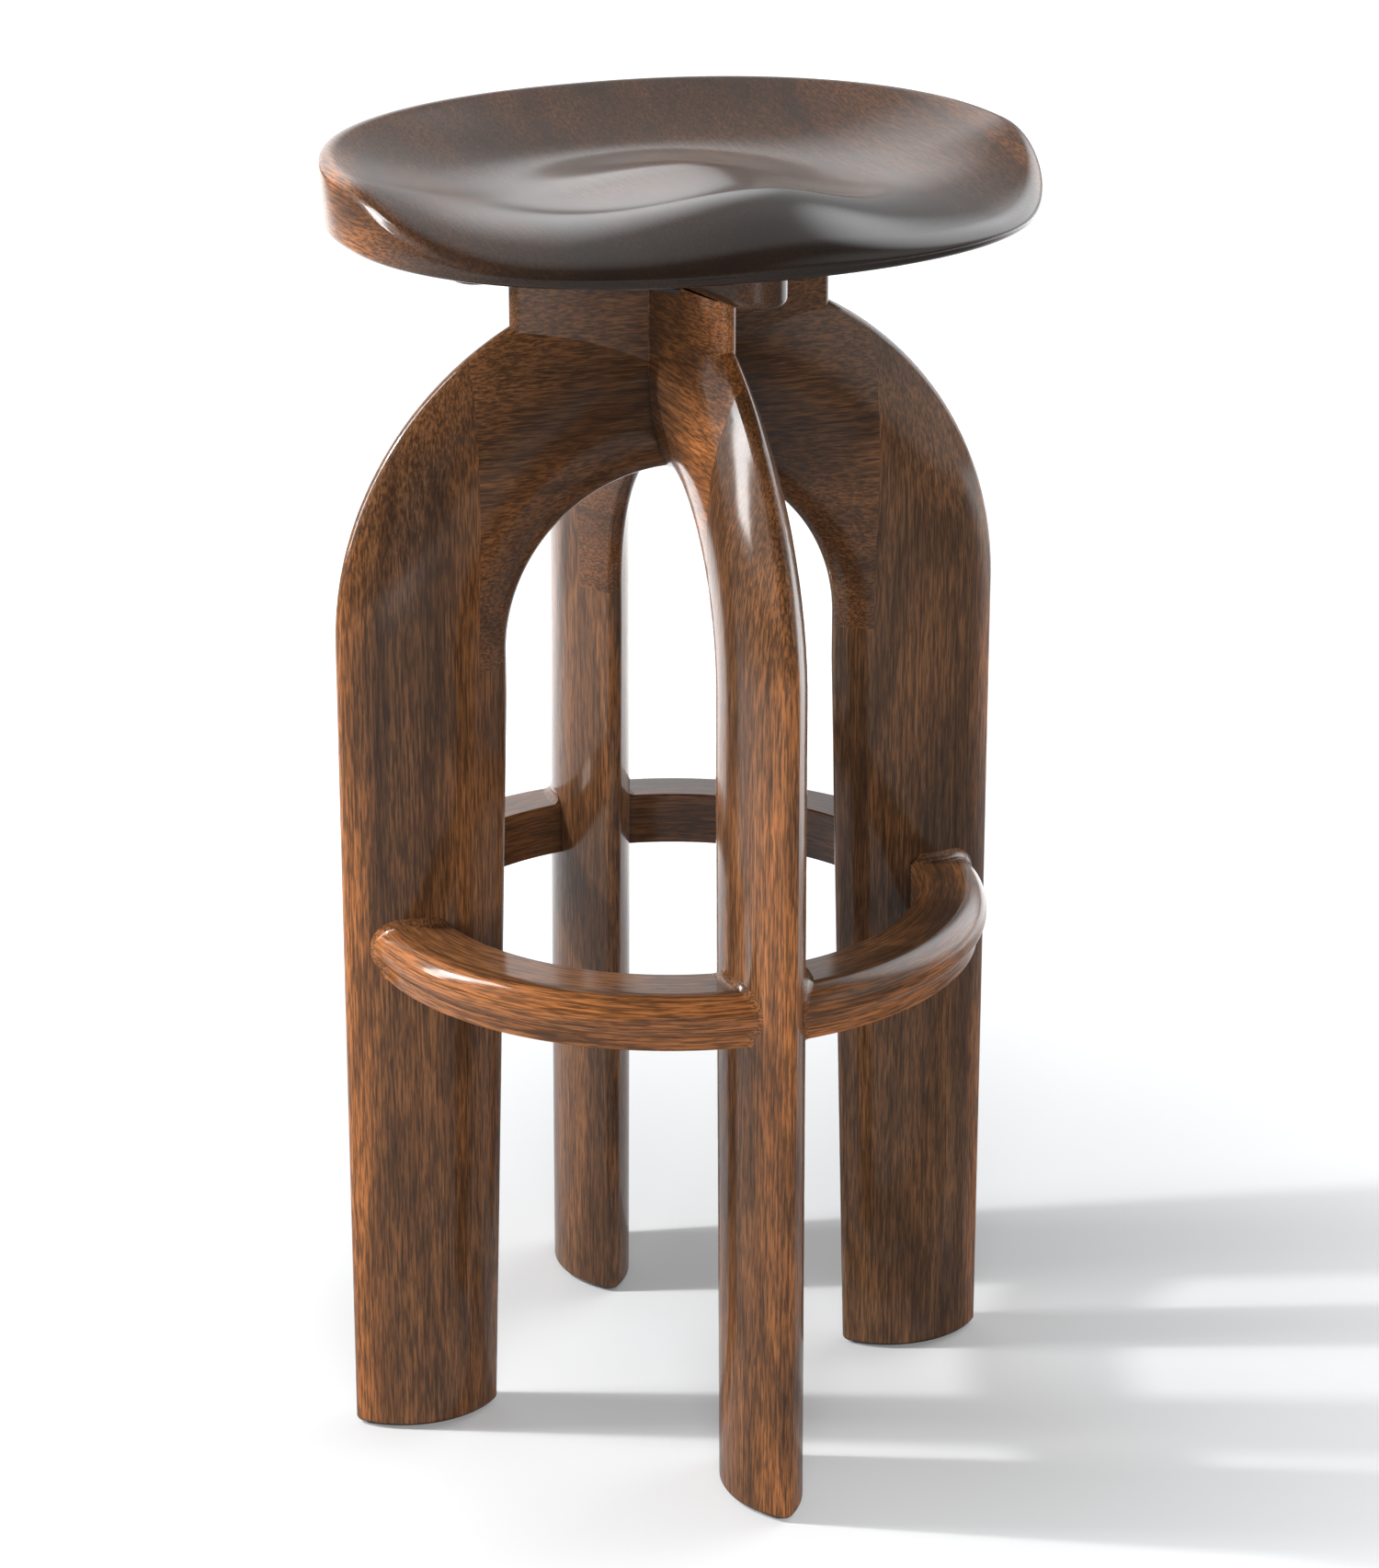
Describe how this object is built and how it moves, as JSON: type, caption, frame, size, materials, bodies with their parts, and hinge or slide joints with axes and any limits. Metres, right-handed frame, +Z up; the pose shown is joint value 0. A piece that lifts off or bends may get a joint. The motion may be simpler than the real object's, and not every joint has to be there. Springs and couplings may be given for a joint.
{
  "type": "swivel bar stool",
  "caption": "Bar stool with a carved saddle seat that swivels on four arched wooden legs tied by a round foot ring.",
  "frame": {"origin": "on the floor at the centre of the four feet, on the swivel axis", "axes": "+Z up along the swivel axis, front leg on -Y, right leg on +X"},
  "size_m": [0.4053, 0.4, 0.7707],
  "materials": {
    "stained_wood": "satin lacquer over dark stain",
    "plain_wood": "bare",
    "felt": "felt",
    "black_steel": "black paint",
    "cage_brass": "stamped",
    "fastener_steel": "bright"
  },
  "bodies": {
    "base": {"leg_right": "stained_wood", "leg_back": "stained_wood", "leg_left": "stained_wood", "leg_front": "stained_wood", "rail_side": "stained_wood", "rail_fore_aft": "stained_wood", "rail_tenons": "plain_wood", "foot_ring_back_right": "stained_wood", "foot_ring_back_left": "stained_wood", "foot_ring_front_left": "stained_wood", "foot_ring_front_right": "stained_wood", "ring_dowels": "plain_wood", "foot_pad_right": "felt", "foot_pad_back": "felt", "foot_pad_left": "felt", "foot_pad_front": "felt", "swivel_lower_plate": "black_steel", "bearing_balls": "fastener_steel", "ball_cage": "cage_brass", "swivel_rivet": "fastener_steel", "swivel_screws_lower": "fastener_steel"},
    "seat": {"seat": "stained_wood", "seat_batten_long": "stained_wood", "seat_batten_cross": "stained_wood", "batten_screws": "fastener_steel", "swivel_upper_plate": "black_steel", "swivel_screws_upper": "fastener_steel"}
  },
  "joints": [
    {"name": "seat_swivel", "type": "hinge", "parent": "base", "child": "seat", "pos_m": [0, 0, 0.695], "axis": [0, 0, 1], "continuous": true}
  ]
}
